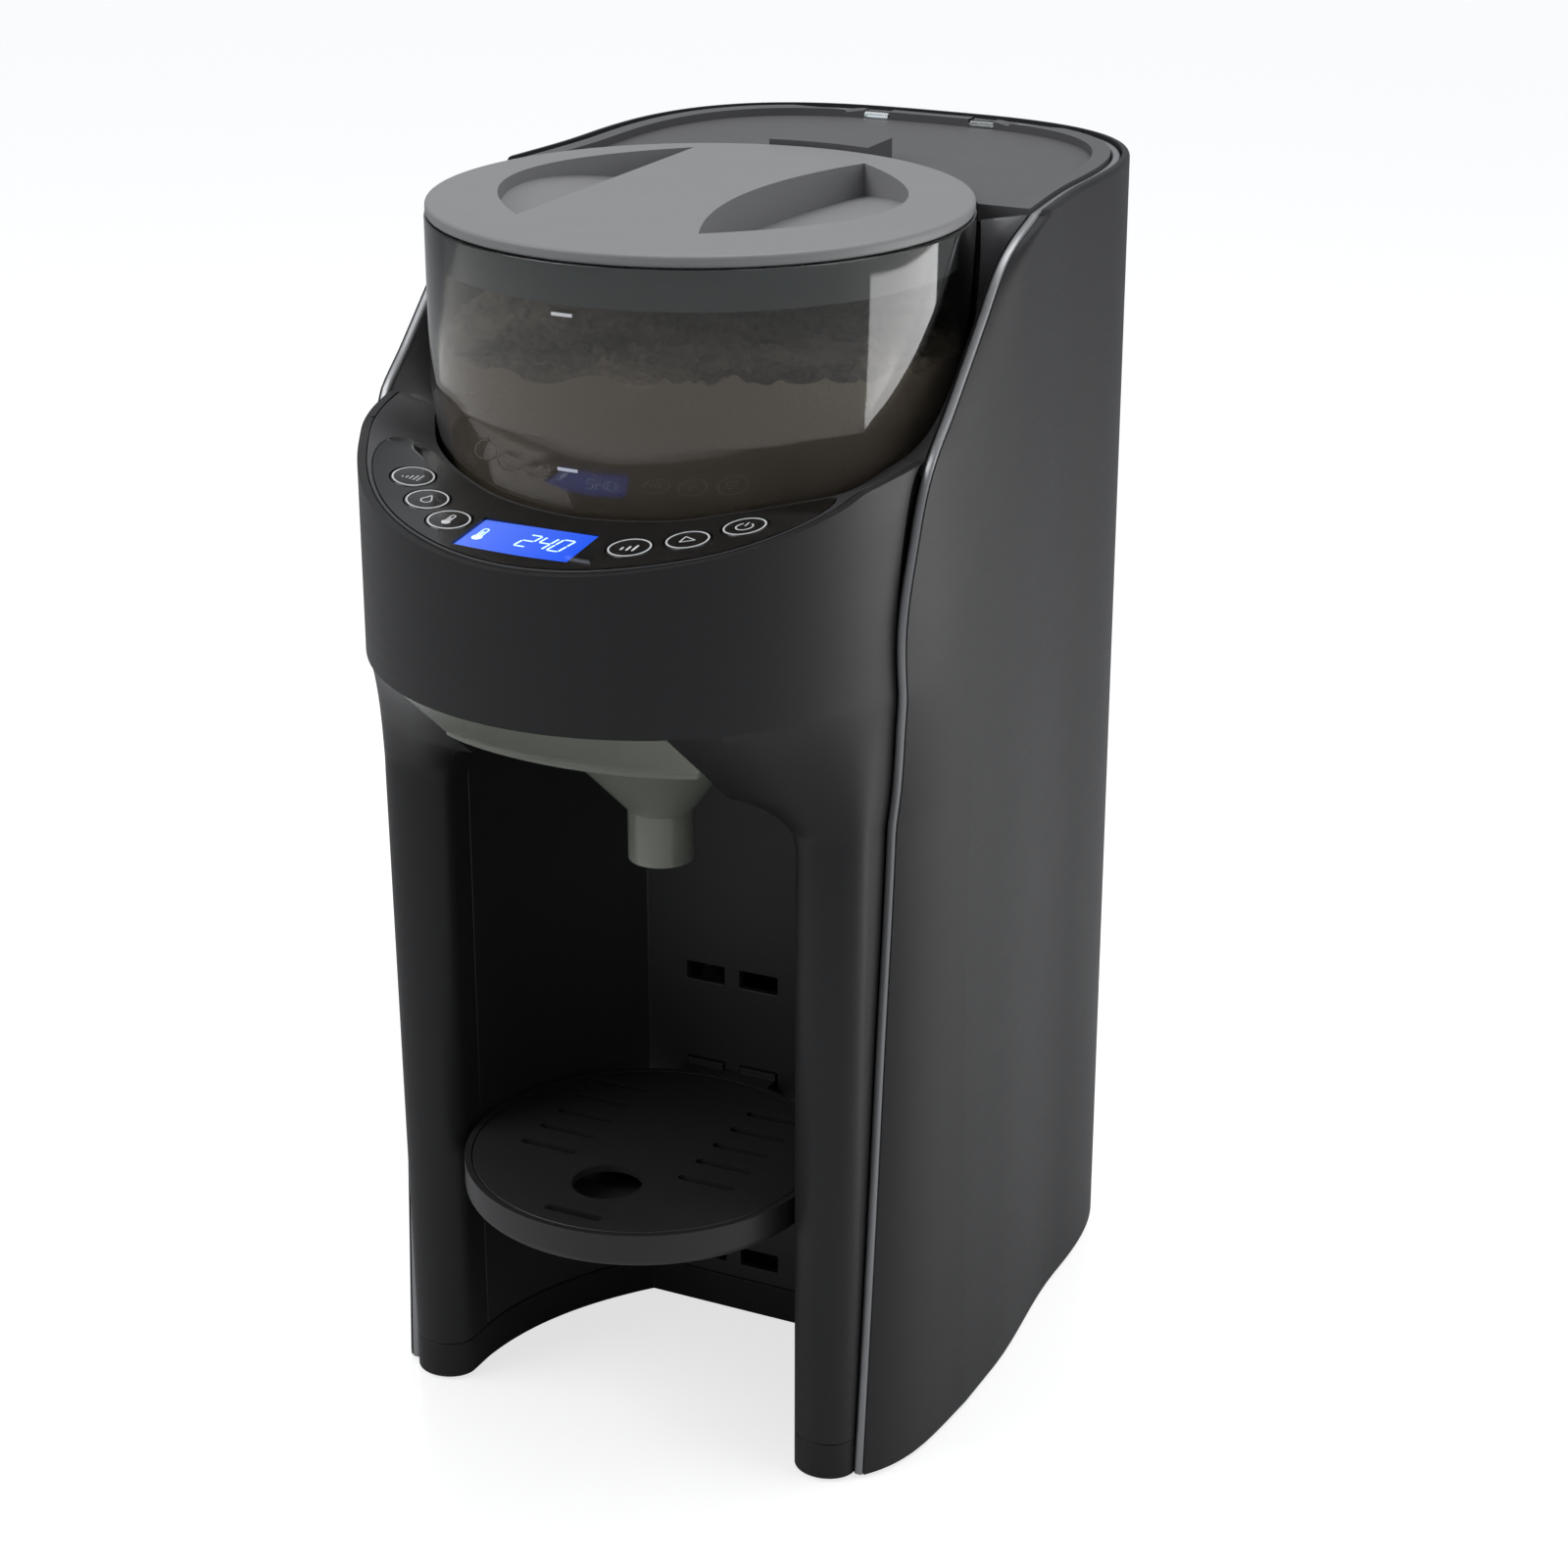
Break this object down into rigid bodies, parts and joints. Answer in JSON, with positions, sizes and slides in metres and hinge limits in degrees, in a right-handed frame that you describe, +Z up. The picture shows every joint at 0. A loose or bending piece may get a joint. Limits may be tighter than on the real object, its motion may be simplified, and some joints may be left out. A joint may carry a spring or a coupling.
{
  "type": "baby formula maker",
  "caption": "Counter-top machine that doses milk powder from a lidded container, mixes it with heated water in a slide-out funnel and fills a bottle on a drip tray.",
  "frame": {"origin": "on the counter under the middle of the body", "axes": "+Z up, -Y to the front with the control panel, +X to the right of someone facing the front"},
  "size_m": [0.176, 0.278, 0.3612],
  "materials": {
    "shell": "fine satin grain, near black",
    "panel": "fine satin grain, charcoal",
    "trim": "dark polished plating",
    "inner": "plain moulded, dark",
    "deck": "fine satin grain, dark grey",
    "gloss": "piano black",
    "screen": "lit blue display behind a clear window",
    "smoke": "clear smoky brown, see-through",
    "lid": "satin mid grey",
    "seal": "soft blue-grey",
    "natural": "natural off-white moulding",
    "steel": "plain metal",
    "olive": "translucent olive grey",
    "clear": "clear, see-through",
    "board": "green solder mask",
    "rubber": "black"
  },
  "bodies": {
    "housing": {"front_shell": "shell", "side_panel_right": "panel", "side_panel_left": "panel", "trim_strip_right": "trim", "trim_strip_left": "trim", "rear_cover": "shell", "base_frame": "shell", "bay_liner": "shell", "bay_ceiling": "inner", "top_deck": "deck", "control_panel": "gloss", "display_window": "screen", "container_seat": "inner", "gear_plate": "steel", "drive_motor": "steel", "tank_dock": "inner", "button_board": "board", "main_board": "board", "powder_chute": "natural", "water_nozzle": "natural", "water_pump": "inner", "water_heater": "steel", "suction_hose": "clear", "feed_hose": "clear", "hot_hose": "clear", "power_inlet": "inner", "foot_1": "rubber", "foot_2": "rubber", "foot_3": "rubber", "foot_4": "rubber"},
    "container": {"powder_container": "smoke", "scraper_plate": "natural"},
    "dosing": {"dosing_wheel": "natural", "stirrer": "natural"},
    "lid_ring": {"lid_seal": "seal"},
    "lid": {"container_lid": "lid"},
    "gear": {"drive_gear": "natural"},
    "pinion": {"motor_pinion": "natural"},
    "funnel": {"funnel": "olive", "funnel_cover": "olive"},
    "tray": {"drip_tray": "shell"},
    "grid": {"tray_grid": "shell"},
    "tank": {"water_tank": "clear", "tank_valve": "natural", "lid_pin_right": "steel", "lid_pin_left": "steel"},
    "tank_lid": {"tank_lid": "deck"},
    "button_powder": {"button_powder": "gloss"},
    "button_water": {"button_water": "gloss"},
    "button_temperature": {"button_temperature": "gloss"},
    "button_volume": {"button_volume": "gloss"},
    "button_start": {"button_start": "gloss"},
    "button_power": {"button_power": "gloss"}
  },
  "joints": [
    {"name": "container_lift", "type": "slide", "parent": "housing", "child": "container", "axis": [0, 0, 1], "range_m": [0, 0.11]},
    {"name": "dosing_spin", "type": "hinge", "parent": "container", "child": "dosing", "pos_m": [0, -0.028, 0.27], "axis": [0, 0, 1], "continuous": true},
    {"name": "lid_lift", "type": "slide", "parent": "container", "child": "lid_ring", "axis": [0, 0, 1], "range_m": [0, 0.06]},
    {"name": "lid_twist", "type": "hinge", "parent": "lid_ring", "child": "lid", "pos_m": [0, -0.028, 0.35], "axis": [0, 0, 1], "range_deg": [0, 20]},
    {"name": "gear_spin", "type": "hinge", "parent": "housing", "child": "gear", "pos_m": [0, -0.028, 0.256], "axis": [0, 0, 1], "continuous": true},
    {"name": "pinion_spin", "type": "hinge", "parent": "housing", "child": "pinion", "pos_m": [0, -0.0055, 0.256], "axis": [0, 0, 1], "continuous": true},
    {"name": "funnel_slide", "type": "slide", "parent": "housing", "child": "funnel", "axis": [0, -1, 0], "range_m": [0, 0.085]},
    {"name": "tray_slide", "type": "slide", "parent": "housing", "child": "tray", "axis": [0, -1, 0], "range_m": [0, 0.09]},
    {"name": "grid_lift", "type": "slide", "parent": "tray", "child": "grid", "axis": [0, 0, 1], "range_m": [0, 0.03]},
    {"name": "tank_lift", "type": "slide", "parent": "housing", "child": "tank", "axis": [0, 0, 1], "range_m": [0, 0.19]},
    {"name": "tank_lid_hinge", "type": "hinge", "parent": "tank", "child": "tank_lid", "pos_m": [0, 0.1302, 0.3534], "axis": [-1, 0, 0], "range_deg": [0, 100]},
    {"name": "press_powder", "type": "slide", "parent": "housing", "child": "button_powder", "axis": [-0.1302, 0.1137, -0.985], "range_m": [0, 0.001], "stiffness_N_per_m": 400, "springref_m": -0.0005},
    {"name": "press_water", "type": "slide", "parent": "housing", "child": "button_water", "axis": [-0.0926, 0.118, -0.9887], "range_m": [0, 0.001], "stiffness_N_per_m": 400, "springref_m": -0.0005},
    {"name": "press_temperature", "type": "slide", "parent": "housing", "child": "button_temperature", "axis": [-0.0645, 0.1091, -0.9919], "range_m": [0, 0.001], "stiffness_N_per_m": 400, "springref_m": -0.0005},
    {"name": "press_volume", "type": "slide", "parent": "housing", "child": "button_volume", "axis": [0.0527, 0.1121, -0.9923], "range_m": [0, 0.001], "stiffness_N_per_m": 400, "springref_m": -0.0005},
    {"name": "press_start", "type": "slide", "parent": "housing", "child": "button_start", "axis": [0.0848, 0.1132, -0.99], "range_m": [0, 0.001], "stiffness_N_per_m": 400, "springref_m": -0.0005},
    {"name": "press_power", "type": "slide", "parent": "housing", "child": "button_power", "axis": [0.1214, 0.1174, -0.9856], "range_m": [0, 0.001], "stiffness_N_per_m": 400, "springref_m": -0.0005}
  ],
  "couplings": [
    {"joint": "pinion_spin", "follows": "gear_spin", "ratio": -2.5714},
    {"joint": "dosing_spin", "follows": "gear_spin", "ratio": 1}
  ]
}
